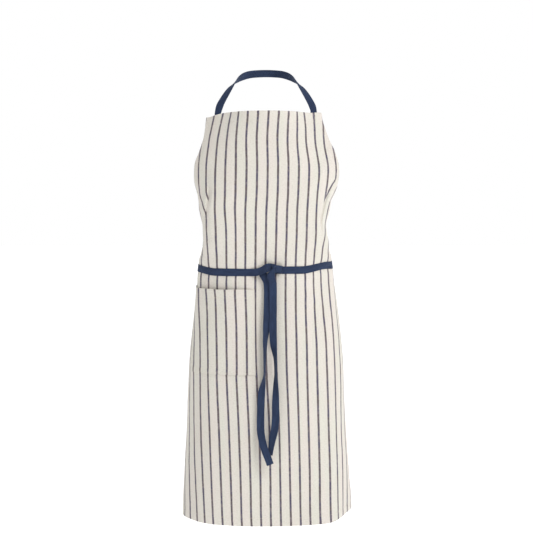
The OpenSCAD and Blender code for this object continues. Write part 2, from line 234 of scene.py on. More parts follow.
def G(u, v):
    """the cloth's outer face at u, v, in millimetres"""
    u, v = np.broadcast_arrays(np.asarray(u, float), np.asarray(v, float))
    P, t, s = F0(u, v)
    a = np.abs(t)
    Pu, _, _ = F0(u + 1, v)
    Pv, _, _ = F0(u, v + 1)
    n = unit(np.cross(Pv - P, Pu - P))
    P = P + n * relief(u, v, t, s)[..., None]
    P[..., 1] += fold_depth(v, a, s)
    push = np.where(s > 0, side_push(v, True), side_push(v, False)) * ss((a - 108) / 38)
    P[..., 0] += s * push
    # small lifts: the bib's corners and the foot
    P[..., 2] += -3.4 * ss((-u - 95) / 45) * (1 - ss(v / 90)) + 5.5 * ss((u - 104) / 40) * (1 - ss(v / 90))
    k = ss((v - 560) / 340)
    P[..., 2] += k * (14.0 * ss((u - 120) / 90) + 2.2 * ss((-u - 130) / 90))
    return P


def half_w(v):
    v = np.asarray(v, float)
    q = np.clip(v, 0, 280) / 280
    return np.where(v >= 280, 350.0, 350 - 202 * np.clip(1 - q**2.2, 0, 1) ** (1 / 2.2))


def on_cloth(u, v, off=0.0, full=False):
    """points on the cloth, off millimetres proud of its outer face"""
    u, v, off = np.broadcast_arrays(np.asarray(u, float), np.asarray(v, float), np.asarray(off, float))
    P = G(u, v)
    tu = G(u + 0.6, v) - G(u - 0.6, v)
    tv = G(u, v + 0.6) - G(u, v - 0.6)
    n = unit(np.cross(tv, tu))
    Q = P + n * off[..., None]
    return (Q, n, unit(tu), unit(tv)) if full else Q


# ---------------------------------------------- where the stripes lie, in mm
DS_V = [0, 30, 62, 121, 198, 263, 330, 420, 512, 680, 800, 880, 905]
DS_U = [-220, -170, -123, -79, -35, 9, 53, 97, 141, 185, 220]
DS = np.array([
    [0, 0, -1, 0, 0, -1, -1, 1, -2, -2, -2],
    [0, 1, 1, 1, 1, 0, 1, 2, 0, 0, 0],
    [0, 2, 4, 2, 2, 1, 2, 4, 1, 1, 1],
    [2, 2, 4, 3, 1, 0, 0, -1, -2, 0, 0],
    [0, 0, 2, 2, 1, 0, 0, 1, 5, 2, 2],
    [0, 0, -1, -3, 0, 0, 0, 1, 5, 3, 3],
    [0, 0, -3, -4, -1, 0, 1, 2, 9, 8, 6],
    [0, 0, -3, -3, -1, 0, 1, 1, 4, 3, 2],
    [0, 0, -2, -2, -1, 0, 0, -1, -2, -1, 0],
    [7, 5, 0, -1.5, -1, -1, 1, 1.5, 1, 6, 8],
    [1, -1, -2.5, -2.5, -0.8, 0.4, 2.2, 3.2, 3.5, 12, 14],
    [-8, -6.5, -5, -2.8, 0, 1.8, 2.8, 4.8, 6, 15, 18],
    [-9, -7.5, -6, -3.5, -0.5, 1.8, 2.8, 4.8, 6, 16, 19]], float)


def stripe_shift(u, v):
    cols = np.stack([smooth_table(v, DS_V, DS[:, j]) for j in range(len(DS_U))], -1)
    U = np.array(DS_U, float)
    i = np.clip(np.searchsorted(U, u, side="right") - 1, 0, len(U) - 2)
    f = np.clip((u - U[i]) / (U[i + 1] - U[i]), 0, 1)
    f = f * f * (3 - 2 * f) * 0.5 + f * 0.5
    a = np.take_along_axis(cols, i[..., None], -1)[..., 0]
    b = np.take_along_axis(cols, (i + 1)[..., None], -1)[..., 0]
    t = u - level(np.clip(v, 0, 905))[..., 2]
    s = np.where(t < 0, -1.0, 1.0)
    push = np.where(s > 0, side_push(v, True), side_push(v, False)) * ss((np.abs(t) - 108) / 38)
    return a * (1 - f) + b * f + s * push * 1.2 * (1 - ss((v - 330) / 120))


def stripe_at(u, v, beyond):
    """stripe coordinate; beyond = the cloth outside its side's fold"""
    u, v, beyond = np.broadcast_arrays(np.asarray(u, float), np.asarray(v, float), np.asarray(beyond))
    S = u + stripe_shift(u, v)
    jr = smooth_table(v, [0, 140, 154, 176, 200, 220, 242, 264, 303, 900], [0, 0, 8, 18, 29, 34, 35, 38, 44, 44])
    jl = smooth_table(v, [0, 170, 182, 193, 205, 215, 224, 250, 900], [0, 0, 3, 9, 14, 19, 22, 22, 22])
    return S + np.where(beyond, np.where(u > 0, jr, -jl), 0)


# ------------------------------------------------------------- mesh builders
def set_attr(me, name, kind, domain, data):
    at = me.attributes.new(name, kind, domain)
    key = "vector" if kind == "FLOAT_VECTOR" else "value"
    at.data.foreach_set(key, np.ascontiguousarray(data, np.float32).ravel())


def make_object(name, verts, faces, mat, smooth=None, corner=None, point=None):
    me = bpy.data.meshes.new(name)
    me.from_pydata((np.asarray(verts) * MM).tolist(), [], faces)
    me.update()
    if smooth is None:
        smooth = np.ones(len(faces), bool)
    me.polygons.foreach_set("use_smooth", np.asarray(smooth, bool))
    for k, (kind, d) in (corner or {}).items():
        set_attr(me, k, kind, "CORNER", d)
    for k, (kind, d) in (point or {}).items():
        set_attr(me, k, kind, "POINT", d)
    ob = bpy.data.objects.new(name, me)
    bpy.context.scene.collection.objects.link(ob)
    me.materials.append(mat)
    return ob


def double_sheet(name, A, B, mat, cell_s=None, uv=None):
    """a closed thin sheet between skin A (outer) and skin B (inner), both n x m.
    cell_s holds the stripe coordinate at the two sides of each column cell."""
    n, m = A.shape[:2]
    K = n * m
    idx = np.arange(K).reshape(n, m)
    a, b, c, d = idx[:-1, :-1], idx[1:, :-1], idx[1:, 1:], idx[:-1, 1:]
    fa = np.stack([a, b, c, d], -1).reshape(-1, 4)
    fb = np.stack([a, d, c, b], -1).reshape(-1, 4) + K
    side = []
    smooth = [True] * (len(fa) + len(fb))
    sc = []
    if cell_s is not None:
        l, r = cell_s[..., 0], cell_s[..., 1]
        sa = np.stack([l[:-1], l[1:], r[1:], r[:-1]], -1).reshape(-1, 4)
        sb = np.stack([l[:-1], r[:-1], r[1:], l[1:]], -1).reshape(-1, 4)
        sc = [sa, sb]
    es = []
    for i in range(n - 1):
        side.append([idx[i, 0], idx[i, 0] + K, idx[i + 1, 0] + K, idx[i + 1, 0]])
        side.append([idx[i, m - 1], idx[i + 1, m - 1], idx[i + 1, m - 1] + K, idx[i, m - 1] + K])
        if cell_s is not None:
            l0, l1 = cell_s[i, 0, 0], cell_s[i + 1, 0, 0]
            r0, r1 = cell_s[i, -1, 1], cell_s[i + 1, -1, 1]
            es.append([l0, l0, l1, l1])
            es.append([r0, r1, r1, r0])
    for j in range(m - 1):
        side.append([idx[0, j], idx[0, j + 1], idx[0, j + 1] + K, idx[0, j] + K])
        side.append([idx[n - 1, j], idx[n - 1, j] + K, idx[n - 1, j + 1] + K, idx[n - 1, j + 1]])
        if cell_s is not None:
            a0, a1 = cell_s[0, j, 0], cell_s[0, j, 1]
            b0, b1 = cell_s[-1, j, 0], cell_s[-1, j, 1]
            es.append([a0, a1, a1, a0])
            es.append([b0, b0, b1, b1])
    faces = fa.tolist() + fb.tolist() + [[int(q) for q in f] for f in side]
    smooth += [False] * len(side)
    verts = np.concatenate([A.reshape(-1, 3), B.reshape(-1, 3)])
    corner = {}
    if cell_s is not None:
        corner["stripe"] = ("FLOAT", np.concatenate([sc[0].ravel(), sc[1].ravel(), np.array(es, float).ravel()]))
    point = {}
    if uv is not None:
        w = np.concatenate([uv, np.zeros(uv.shape[:2] + (1,))], -1).reshape(-1, 3)
        w2 = w.copy()
        w2[:, 2] = 1.0
        point["cloth"] = ("FLOAT_VECTOR", np.concatenate([w, w2]))
    return make_object(name, verts, faces, mat, smooth, corner, point)


TAPE_W, TAPE_T = 16.0, 1.5


def tape_section(w=TAPE_W, t=TAPE_T):
    """closed outline of a woven tape, [across, out], with soft edges and selvedges"""
    h, r = w / 2, t / 2
    top = [(-h + 0.0, 0.0), (-h + 0.15, 0.62 * r), (-h + 0.5, r * 1.0), (-h + 1.1, r * 1.04), (-h + 1.7, r * 0.92)]
    k = 7
    mid = [(-h + 1.7 + (2 * h - 3.4) * i / k, r * 0.92) for i in range(1, k)]
    right = [(-p[0], p[1]) for p in reversed(top)]
    up = top + mid + right
    low = [(p[0], -p[1]) for p in reversed(up[1:-1])]
    return np.array(up + low)


def ribbon(name, P, W, N, mat, along=None, width=None, cup=None, cap=True):
    """a tape along points P with unit across vectors W and outward normals N"""
    P, W, N = (np.asarray(q, float) for q in (P, W, N))
    n = len(P)
    sec = tape_section()
    m = len(sec)
    if along is None:
        along = np.concatenate([[0], np.cumsum(np.linalg.norm(np.diff(P, axis=0), axis=1))])
    width = np.ones(n) if width is None else np.asarray(width, float)
    cup = np.zeros(n) if cup is None else np.asarray(cup, float)
    V = []
    UV = []
    for i in range(n):
        x = sec[:, 0] * width[i]
        o = sec[:, 1] + cup[i] * ((sec[:, 0] / 8) ** 2 - 0.35)
        V.append(P[i] + W[i] * x[:, None] + N[i] * o[:, None])
        UV.append(np.stack([sec[:, 0], np.full(m, along[i]), np.sign(sec[:, 1])], -1))
    V = np.array(V)
    idx = np.arange(n * m).reshape(n, m)
    jn = np.roll(np.arange(m), -1)
    # orientation: across x along = outward or inward decides the winding
    t = P[min(1, n - 1)] - P[0]
    flip = np.dot(np.cross(W[0], t), N[0]) > 0
    a, b, c, d = idx[:-1], idx[1:], idx[1:][:, jn], idx[:-1][:, jn]
    f = np.stack([a, b, c, d] if not flip else [a, d, c, b], -1).reshape(-1, 4).tolist()
    smooth = [True] * len(f)
    if cap:
        e0, e1 = idx[0].tolist(), idx[-1].tolist()
        f.append(e0 if not flip else e0[::-1])
        f.append(e1[::-1] if not flip else e1)
        smooth += [False, False]
    return make_object(name, V.reshape(-1, 3), f, mat, smooth, None,
                       {"cloth": ("FLOAT_VECTOR", np.array(UV).reshape(-1, 3))})


def catmull(P, n):
    """n points per span through the points P"""
    P = np.asarray(P, float)
    Q = np.concatenate([[2 * P[0] - P[1]], P, [2 * P[-1] - P[-2]]])
    out = []
    for i in range(len(P) - 1):
        p0, p1, p2, p3 = Q[i], Q[i + 1], Q[i + 2], Q[i + 3]
        for s in np.arange(n) / n:
            out.append(0.5 * ((2 * p1) + (-p0 + p2) * s + (2 * p0 - 5 * p1 + 4 * p2 - p3) * s**2
                              + (-p0 + 3 * p1 - 3 * p2 + p3) * s**3))
    out.append(P[-1])
    return np.array(out)


def frames_along(P, W):
    """unit tangents, across vectors square to them, and outward normals"""
    T = unit(np.gradient(P, axis=0))
    W = unit(W - (W * T).sum(-1, keepdims=True) * T)
    return T, W, np.cross(T, W)


def resample(P, step):
    L = np.concatenate([[0], np.cumsum(np.linalg.norm(np.diff(P[:, :3], axis=0), axis=1))])
    s = np.linspace(0, L[-1], max(2, int(round(L[-1] / step)) + 1))
    return np.stack([np.interp(s, L, P[:, k]) for k in range(P.shape[1])], -1), s


def stitches(name, runs, mat, pitch=3.4, length=2.5, r=0.24):
    """rows of thread stitches. A run is a list of (u, v) on the cloth with an offset,
    or a callable giving points and normals"""
    V, Fc, UV = [], [], []
    ring, seg = 6, 5
    k = 0
    for run in runs:
        pts = np.asarray(run["path"], float)
        q, s = resample(np.concatenate([pts, np.zeros((len(pts), 1))], 1), 0.5)
        total = s[-1]
        n = max(1, int(total // run.get("pitch", pitch)))
        p = total / n
        ln = run.get("length", length) * (1 + 0.08 * rng.standard_normal(n))
        c = (np.arange(n) + 0.5) * p
        at = c[:, None] + ln[:, None] * np.linspace(-0.5, 0.5, seg)
        uu = np.interp(at, s, q[:, 0])
        vv = np.interp(at, s, q[:, 1])
        prof = np.sin(np.linspace(0, math.pi, seg)) ** 0.6
        off = np.broadcast_to(run["off"] + 0.02 + 0.16 * prof - 0.10 * (1 - prof), at.shape)
        if "surf" in run:
            P, N = run["surf"](uu, vv, off)
        else:
            P, N, _, _ = on_cloth(uu, vv, off, full=True)
        T = unit(np.gradient(P, axis=1))
        B = unit(np.cross(T, N))
        rad = (r * (0.55 + 0.45 * prof))[None, :, None, None]
        w = 2 * math.pi * np.arange(ring) / ring
        cw_, sw_ = np.cos(w)[None, None, :, None], np.sin(w)[None, None, :, None]
        V.append((P[:, :, None] + rad * (cw_ * B[:, :, None] + sw_ * N[:, :, None] * 0.8)).reshape(-1, 3))
        UV.append(np.stack(np.broadcast_arrays(np.arange(ring)[None, None, :] + 0.0, at[:, :, None], 0.0), -1).reshape(-1, 3))
        for i in range(n):
            for j in range(seg - 1):
                for a in range(ring):
                    b = (a + 1) % ring
                    Fc.append([k + j * ring + a, k + j * ring + b, k + (j + 1) * ring + b, k + (j + 1) * ring + a])
            Fc.append([k + a for a in range(ring)][::-1])
            Fc.append([k + (seg - 1) * ring + a for a in range(ring)])
            k += seg * ring
    return make_object(name, np.concatenate(V), Fc, mat, None, None, {"cloth": ("FLOAT_VECTOR", np.concatenate(UV))})


# ----------------------------------------------------------------- materials
class Nodes:
    def __init__(self, name):
        self.mat = bpy.data.materials.new(name)
        self.mat.use_nodes = True
        self.t = self.mat.node_tree
        self.t.nodes.clear()
        self.out = self.t.nodes.new("ShaderNodeOutputMaterial")
        self.bsdf = self.t.nodes.new("ShaderNodeBsdfPrincipled")
        self.t.links.new(self.bsdf.outputs[0], self.out.inputs[0])

    def link(self, a, b):
        self.t.links.new(a, b)

    def attr(self, name):
        n = self.t.nodes.new("ShaderNodeAttribute")
        n.attribute_name = name
        return n

    def math(self, op, a, b=None, c=None, clamp=False):
        n = self.t.nodes.new("ShaderNodeMath")
        n.operation = op
        n.use_clamp = clamp
        for i, x in enumerate((a, b, c)):
            if x is None:
                continue
            if isinstance(x, (int, float)):
                n.inputs[i].default_value = x
            else:
                self.link(x, n.inputs[i])
        return n.outputs[0]

    def ramp01(self, x, lo, hi):
        n = self.t.nodes.new("ShaderNodeMapRange")
        n.interpolation_type = "SMOOTHSTEP"
        n.inputs["From Min"].default_value = lo
        n.inputs["From Max"].default_value = hi
        self.link(x, n.inputs["Value"])
        return n.outputs[0]

    def noise(self, vec, scale, detail=2.0, rough=0.5, dist=0.0):
        n = self.t.nodes.new("ShaderNodeTexNoise")
        n.inputs["Scale"].default_value = scale
        n.inputs["Detail"].default_value = detail
        n.inputs["Roughness"].default_value = rough
        n.inputs["Distortion"].default_value = dist
        self.link(vec, n.inputs["Vector"])
        return n.outputs["Fac"]

    def scaled(self, vec, s, off=(0, 0, 0)):
        n = self.t.nodes.new("ShaderNodeMapping")
        n.inputs["Scale"].default_value = s
        n.inputs["Location"].default_value = off
        self.link(vec, n.inputs["Vector"])
        return n.outputs[0]

    def mix(self, fac, a, b, kind="MIX"):
        n = self.t.nodes.new("ShaderNodeMix")
        n.data_type = "RGBA"
        n.blend_type = kind
        for key, x in ((0, fac), (6, a), (7, b)):
            if isinstance(x, (int, float)):
                n.inputs[key].default_value = x
            elif isinstance(x, tuple):
                n.inputs[key].default_value = (*x, 1)
            else:
                self.link(x, n.inputs[key])
        return n.outputs[2]

    def bump(self, height, dist, strength=1.0, prev=None):
        n = self.t.nodes.new("ShaderNodeBump")
        n.inputs["Strength"].default_value = strength
        n.inputs["Distance"].default_value = dist
        self.link(height, n.inputs["Height"])
        if prev is not None:
            self.link(prev, n.inputs["Normal"])
        return n.outputs[0]

    def sep(self, vec):
        n = self.t.nodes.new("ShaderNodeSeparateXYZ")
        self.link(vec, n.inputs[0])
        return n.outputs[0], n.outputs[1], n.outputs[2]

    def wave(self, x, period):
        """0 to 1 rounded thread profile along x"""
        a = self.math("MULTIPLY", x, math.pi / period)
        return self.math("ABSOLUTE", self.math("SINE", a))


def srgb(r, g, b):
    f = lambda c: (c / 255 / 12.92) if c / 255 <= 0.04045 else ((c / 255 + 0.055) / 1.055) ** 2.4
    return (f(r), f(g), f(b))


def cloth_material(name):
    m = Nodes(name)
    uv = m.attr("cloth").outputs["Vector"]
    S = m.attr("stripe").outputs["Fac"]
    u, v, _ = m.sep(uv)
    # broad soft tone bands down the cloth, and faint blotches
    band = m.noise(m.scaled(uv, (0.045, 0.0032, 1)), 1.0, 2.0, 0.55)
    blot = m.noise(m.scaled(uv, (0.016, 0.012, 1), (3, 7, 0)), 1.0, 3.0, 0.6)
    c1 = srgb(218, 211, 204)
    c2 = srgb(214, 212, 202)
    base = m.mix(m.ramp01(band, 0.36, 0.64), c1, c2)
    base = m.mix(m.math("MULTIPLY", m.ramp01(blot, 0.35, 0.7), 0.10), base, srgb(200, 192, 178))
    # slubs: thicker yarns, weft (across) and warp (down)
    weft = m.noise(m.scaled(uv, (0.055, 1.3, 1)), 1.0, 2.0, 0.6)
    warp = m.noise(m.scaled(uv, (1.25, 0.04, 1), (9, 2, 0)), 1.0, 2.0, 0.6)
    slub = m.math("ADD", m.ramp01(weft, 0.40, 0.78), m.ramp01(warp, 0.42, 0.78))
    base = m.mix(m.math("MULTIPLY", slub, 0.10), base, srgb(228, 224, 212))
    base = m.mix(m.math("MULTIPLY", m.ramp01(weft, 0.48, 0.22), 0.16), base, srgb(186, 178, 164))
    mott = m.noise(m.scaled(uv, (0.30, 0.42, 1), (6, 1, 0)), 1.0, 4.0, 0.62)
    base = m.mix(m.math("MULTIPLY", m.ramp01(mott, 0.50, 0.72), 0.46), base, srgb(186, 176, 166))
    base = m.mix(m.math("MULTIPLY", m.ramp01(mott, 0.48, 0.30), 0.46), base, srgb(232, 229, 220))
    # stripe: distance to the nearest line, its edges frayed by the weave
    edge = m.noise(m.scaled(uv, (0.5, 1.15, 1), (1, 5, 0)), 1.0, 1.0, 0.5)
    slow = m.noise(m.scaled(uv, (0.06, 0.055, 1), (4, 4, 0)), 1.0, 2.0, 0.5)
    sw = m.math("ADD", S, m.math("MULTIPLY", m.math("SUBTRACT", edge, 0.5), 0.9))
    fr = m.math("FRACT", m.math("ADD", m.math("MULTIPLY", sw, 1 / 22.0), 0.1 + 100))
    dist = m.math("MULTIPLY", m.math("ABSOLUTE", m.math("SUBTRACT", fr, 0.5)), 22.0)
    half = m.math("ADD", 1.88, m.math("MULTIPLY", slow, 0.75))
    mask = m.math("SUBTRACT", 1.0, m.ramp01(m.math("SUBTRACT", dist, half), -0.25, 0.30))
    # heather: dyed warp crossed by undyed weft, paler and darker along the line
    fleck = m.noise(m.scaled(uv, (1.4, 0.55, 1), (2, 8, 0)), 1.0, 2.0, 0.6)
    run = m.noise(m.scaled(uv, (0.055, 0.11, 1), (7, 1, 0)), 1.0, 2.5, 0.6)
    hue = m.noise(m.scaled(uv, (0.046, 0.05, 1), (5, 12, 0)), 1.0, 2.0, 0.5)
    dark = m.mix(m.ramp01(hue, 0.40, 0.60), srgb(56, 49, 84), srgb(77, 63, 72))
    dark = m.mix(m.ramp01(run, 0.44, 0.70), dark, srgb(104, 92, 104))
    pale = m.math("MULTIPLY", m.ramp01(fleck, 0.44, 0.70), 0.48)
    dark = m.mix(pale, dark, srgb(182, 176, 166))
    col = m.mix(mask, base, dark)
    m.link(col, m.bsdf.inputs["Base Color"])
    # plain weave relief
    tu = m.wave(u, 0.62)
    tv = m.wave(v, 0.70)
    chk = m.math("MULTIPLY", tu, tv)
    hgt = m.math("ADD", m.math("MULTIPLY", chk, 0.5), m.math("MULTIPLY", slub, 0.35))
    crumple = m.noise(m.scaled(uv, (0.11, 0.08, 1)), 1.0, 3.0, 0.6)
    n1 = m.bump(crumple, 0.0016, 0.5)
    n2 = m.bump(hgt, 0.00022, 0.7, n1)
    m.link(n2, m.bsdf.inputs["Normal"])
    rough = m.math("ADD", 0.82, m.math("MULTIPLY", slub, 0.08))
    m.link(rough, m.bsdf.inputs["Roughness"])
    b = m.bsdf.inputs
    b["Specular IOR Level"].default_value = 0.25
    b["Sheen Weight"].default_value = 0.25
    b["Sheen Roughness"].default_value = 0.6
    b["Sheen Tint"].default_value = (1, 0.98, 0.94, 1)
    return m.mat


def tape_material(name):
    m = Nodes(name)
    uv = m.attr("cloth").outputs["Vector"]
    x, s, _ = m.sep(uv)
    # twill tape: ribs that lean across it, with plain selvedges
    d = m.math("ADD", m.math("MULTIPLY", x, 0.9), s)
    rib = m.wave(d, 1.05)
    fine = m.wave(m.math("SUBTRACT", x, m.math("MULTIPLY", s, 0.35)), 0.55)
    fade = m.noise(m.scaled(uv, (0.12, 0.03, 1)), 1.0, 3.0, 0.6)
    lint = m.noise(m.scaled(uv, (1.8, 1.1, 1), (3, 3, 0)), 1.0, 2.0, 0.65)
    base = m.mix(m.ramp01(fade, 0.34, 0.68), srgb(30, 41, 66), srgb(40, 54, 82))
    base = m.mix(m.math("MULTIPLY", rib, 0.35), base, srgb(50, 66, 96))
    base = m.mix(m.math("MULTIPLY", m.ramp01(lint, 0.60, 0.78), 0.35), base, srgb(84, 96, 120))
    edge = m.ramp01(m.math("ABSOLUTE", x), 6.9, 7.6)
    base = m.mix(m.math("MULTIPLY", edge, 0.22), base, srgb(58, 72, 100))
    m.link(base, m.bsdf.inputs["Base Color"])
    h = m.math("ADD", m.math("MULTIPLY", rib, 0.7), m.math("MULTIPLY", fine, 0.3))
    n1 = m.bump(m.noise(m.scaled(uv, (0.25, 0.09, 1)), 1.0, 3.0, 0.6), 0.0010, 0.4)
    n2 = m.bump(h, 0.00028, 0.8, n1)
    m.link(n2, m.bsdf.inputs["Normal"])
    m.link(m.math("SUBTRACT", 0.78, m.math("MULTIPLY", rib, 0.14)), m.bsdf.inputs["Roughness"])
    b = m.bsdf.inputs
    b["Specular IOR Level"].default_value = 0.18
    b["Sheen Weight"].default_value = 0.08
    b["Sheen Roughness"].default_value = 0.45
    b["Sheen Tint"].default_value = (0.75, 0.82, 1, 1)
    return m.mat


def thread_material(name):
    m = Nodes(name)
    uv = m.attr("cloth").outputs["Vector"]
    a, s, _ = m.sep(uv)
    ply = m.wave(m.math("ADD", a, m.math("MULTIPLY", s, 2.2)), 1.5)
    fade = m.noise(m.scaled(uv, (0.3, 0.11, 1)), 1.0, 2.0, 0.5)
    base = m.mix(m.ramp01(fade, 0.35, 0.65), srgb(216, 209, 192), srgb(226, 221, 206))
    base = m.mix(m.math("MULTIPLY", ply, 0.25), base, srgb(196, 188, 170))
    m.link(base, m.bsdf.inputs["Base Color"])
    m.link(m.bump(ply, 0.00008, 0.8), m.bsdf.inputs["Normal"])
    m.link(m.math("ADD", 0.52, m.math("MULTIPLY", ply, 0.12)), m.bsdf.inputs["Roughness"])
    m.bsdf.inputs["Sheen Weight"].default_value = 0.2
    return m.mat


M_CLOTH = cloth_material("striped_cotton")
M_TAPE = tape_material("navy_twill_tape")
M_THREAD = thread_material("cream_thread")

CT = 0.8       # thickness of one layer of cloth
FI = 2.05      # outer skin of a turned-in layer
BI = 1.25      # inner skin of a turned-in layer


# ----------------------------------------------------------- the main panel
def edge_line(n=520):
    """the flat cloth's right edge from the bib's corner to the foot: points and inward normals"""
    a = np.linspace(0, math.pi / 2, n)
    v = 280 * np.sin(a) ** (2 / 2.2)
    u = 350 - 202 * np.clip(1 - (v / 280) ** 2.2, 0, 1) ** (1 / 2.2)
    p = np.concatenate([np.stack([u, v], -1), np.stack([np.full(300, 350.0), np.linspace(281, 900, 300)], -1)])
    q, s = resample(np.concatenate([p, np.zeros((len(p), 1))], 1), 1.0)
    t = unit(np.gradient(q[:, :2], axis=0))
    nrm = np.stack([-t[:, 1], t[:, 0]], -1)
    return q[:, :2], nrm, s


E_P, E_N, E_S = edge_line()


def inset_w(v, d):
    """half-width of the cloth d mm inside its edge"""
    q = E_P + E_N * d
    o = np.argsort(q[:, 1], kind="stable")
    vv, uu = q[o, 1], q[o, 0]
    keep = np.concatenate([[True], np.diff(vv) > 1e-4])
    w = np.interp(v, vv[keep], uu[keep])
    return np.where(np.asarray(v) > 280 + d, 350 - d, np.minimum(w, 350 - d))


def panel_rows():
    rows = []   # v of skin A, offset A, v of skin B, offset B
    rows += [(v, -FI, v, -BI) for v in (24.6, 23.6, 22.4, 19, 14, 9, 5, 2.4)]
    c, ra, rb = -FI / 2, FI / 2, (BI - CT) / 2
    for th in np.linspace(0, math.pi, 7):
        rows.append((1.1 - ra * math.sin(th), c - ra * math.cos(th), 1.1 - rb * math.sin(th), c - rb * math.cos(th)))
    vs = [2.4, 5, 9, 13, 17, 20, 21.8, 23, 24.4, 26.5]
    vs += list(np.arange(30, 148, 4.0)) + list(np.arange(148, 232, 3.2))
    a0 = math.asin((232 / 280) ** 1.1)
    vs += [280 * math.sin(a) ** (2 / 2.2) for a in np.linspace(a0, math.radians(88.5), 20)]
    vs += [280.0, 281.3, 283.5]
    vs += list(np.linspace(287, 873, 126))
    vs += [876, 878.6, 880.4, 881.6, 882.8, 885, 889, 893, 896.5]
    rows += [(v, 0.0, v, -CT) for v in vs]
    for th in np.linspace(0, math.pi, 7):
        rows.append((898.9 + ra * math.sin(th), c + ra * math.cos(th), 898.9 + rb * math.sin(th), c + rb * math.cos(th)))
    rows += [(v, -FI, v, -BI) for v in (896.5, 893, 889, 885, 882.8, 881.6, 880.4)]
    return np.array(rows)


R_PANEL = panel_rows()
C_IN = np.concatenate([np.linspace(0, 0.92, 31), [0.945, 0.965, 0.98, 0.992, 1.0]])
C_OUT = np.concatenate([[0.0, 0.006, 0.014, 0.026, 0.042, 0.062], np.linspace(0.085, 1, 41)[:-1]])
C_EDGE = np.array([15, 12.8, 11.2, 10, 8.8, 6.5, 3.5, 1.25])


def panel_cols(v):
    """u of every column at height v (array), and the two fold columns' numbers"""
    v = np.asarray(v, float)
    sh = level(np.clip(v, 0, 905))[..., 2]
    out = {}
    for right in (True, False):
        ac = fold_at(v, right) + (sh if right else -sh)
        w0 = inset_w(v, 0.0)
        rm = np.clip((w0 - ac) / 60, 0.15, 1)
        E = np.stack([inset_w(v, d) for d in (1.25,)], -1)
        # columns near the edge stay a set distance inside it
        ed = np.stack([inset_w(v, 1.25) - (d - 1.25) * rm for d in C_EDGE], -1)
        wo = ed[..., 0]
        inner = ac[..., None] * C_IN
        outer = ac[..., None] + (wo - ac)[..., None] * C_OUT[1:]
        out[right] = np.concatenate([inner, outer, ed], -1)
    L = -out[False][..., ::-1]
    cols = np.concatenate([L[..., :-1], out[True]], -1)
    nl = L.shape[-1]
    return cols, nl - len(C_IN), nl - 1 + len(C_IN) - 1


def build_panel():
    va, oa, vb, ob = R_PANEL.T
    ca, jl, jr = panel_cols(np.clip(va, 0.2, 899.8))
    cb, _, _ = panel_cols(np.clip(vb, 0.2, 899.8))
    A = on_cloth(ca, va[:, None], oa[:, None])
    B = on_cloth(cb, vb[:, None], ob[:, None])
    m = ca.shape[1]
    cell = np.zeros((len(va), m - 1, 2))
    j = np.arange(m - 1)
    beyond = (j >= jr) | (j < jl)
    vv = np.clip(va, 0, 900)[:, None]
    cell[..., 0] = stripe_at(ca[:, :-1], vv, beyond[None, :])
    cell[..., 1] = stripe_at(ca[:, 1:], vv, beyond[None, :])
    uv = np.stack([ca, np.repeat(va[:, None], m, 1)], -1)
    return double_sheet("apron_cloth", A, B, M_CLOTH, cell, uv)


panel = build_panel()


# ------------------------------------------------- turned-in side and armhole hems
def hem_strip(name, s0, s1, sign, step=3.2):
    """a narrow hem: cloth wrapped round the panel's edge and stitched inside"""
    n = int((s1 - s0) / step) + 1
    s = np.linspace(s0, s1, n)
    eu = np.interp(s, E_S, E_P[:, 0])
    ev = np.interp(s, E_S, E_P[:, 1])
    nu = np.interp(s, E_S, E_N[:, 0])
    nv = np.interp(s, E_S, E_N[:, 1])
    l = np.hypot(nu, nv)
    nu, nv = nu / l, nv / l
    thick = np.maximum(1 - ss((ev - 26) / 4), ss((ev - 876) / 4))
    r = 0.90 + 0.68 * thick
    dd = [11.6, 10.8, 9.2, 7, 4.5, 2.6]
    cols_a, cols_b = [], []
    for d in dd:
        wob = 0.25 * vnoise(s / 9, d, 3) if d > 10 else 0
        cols_a.append((d + wob, -2 * r))
        cols_b.append((d + wob, -2 * r + CT))
    for th in np.linspace(0, math.pi, 9):
        cols_a.append((r - r * math.sin(th), -r - r * math.cos(th)))
        cols_b.append((r - (r - CT) * math.sin(th), -r - (r - CT) * math.cos(th)))
    cols_a.append((r + 0.33, 0 * r))
    cols_b.append((r + 0.33, 0 * r - CT))
    A, B, U, Vw = [], [], [], []
    for (da, oa), (db, ob) in zip(cols_a, cols_b):
        da, oa, db, ob = (np.broadcast_to(q, s.shape) for q in (da, oa, db, ob))
        # the inner end sits on the cloth, whose corner rounds the foot
        ua, va_ = eu + nu * da, ev + nv * da
        ub, vb_ = eu + nu * db, ev + nv * db
        A.append(on_cloth(sign * ua, np.clip(va_, -0.3, 900.3), oa))
        B.append(on_cloth(sign * ub, np.clip(vb_, -0.3, 900.3), ob))
        U.append(sign * ua)
        Vw.append(va_)
    A = np.stack(A, 1)
    B = np.stack(B, 1)
    U = np.stack(U, 1)
    Vw = np.stack(Vw, 1)
    if sign < 0:
        A, B, U, Vw = (q[:, ::-1] for q in (A, B, U, Vw))
    # skin A faces out when rows go down and columns run from the inside round to the front
    edge_u = (sign * (eu + nu * 0))[:, None]
    S = stripe_at(U, Vw, np.ones_like(U, bool))
    # the turned-in part takes the stripe coordinate of the face at the same place
    cell = np.stack([S[:, :-1], S[:, 1:]], -1)
    uv = np.stack([U, Vw], -1)
    A, B, cell, uv = (np.ascontiguousarray(q) for q in (A, B, cell, uv))
    ob = double_sheet(name, A, B, M_CLOTH, cell, uv)
    return ob


S280 = float(np.interp(280.0, E_P[:, 1], E_S))
S_END = float(E_S[-1])
hems = {}
for sg, side in ((1, "right"), (-1, "left")):
    hems["arm_" + side] = hem_strip("hem_armhole_" + side, 0.3, S280 - 0.3, sg)
    hems["side_" + side] = hem_strip("hem_side_" + side, S280 + 0.3, S_END - 0.2, sg)


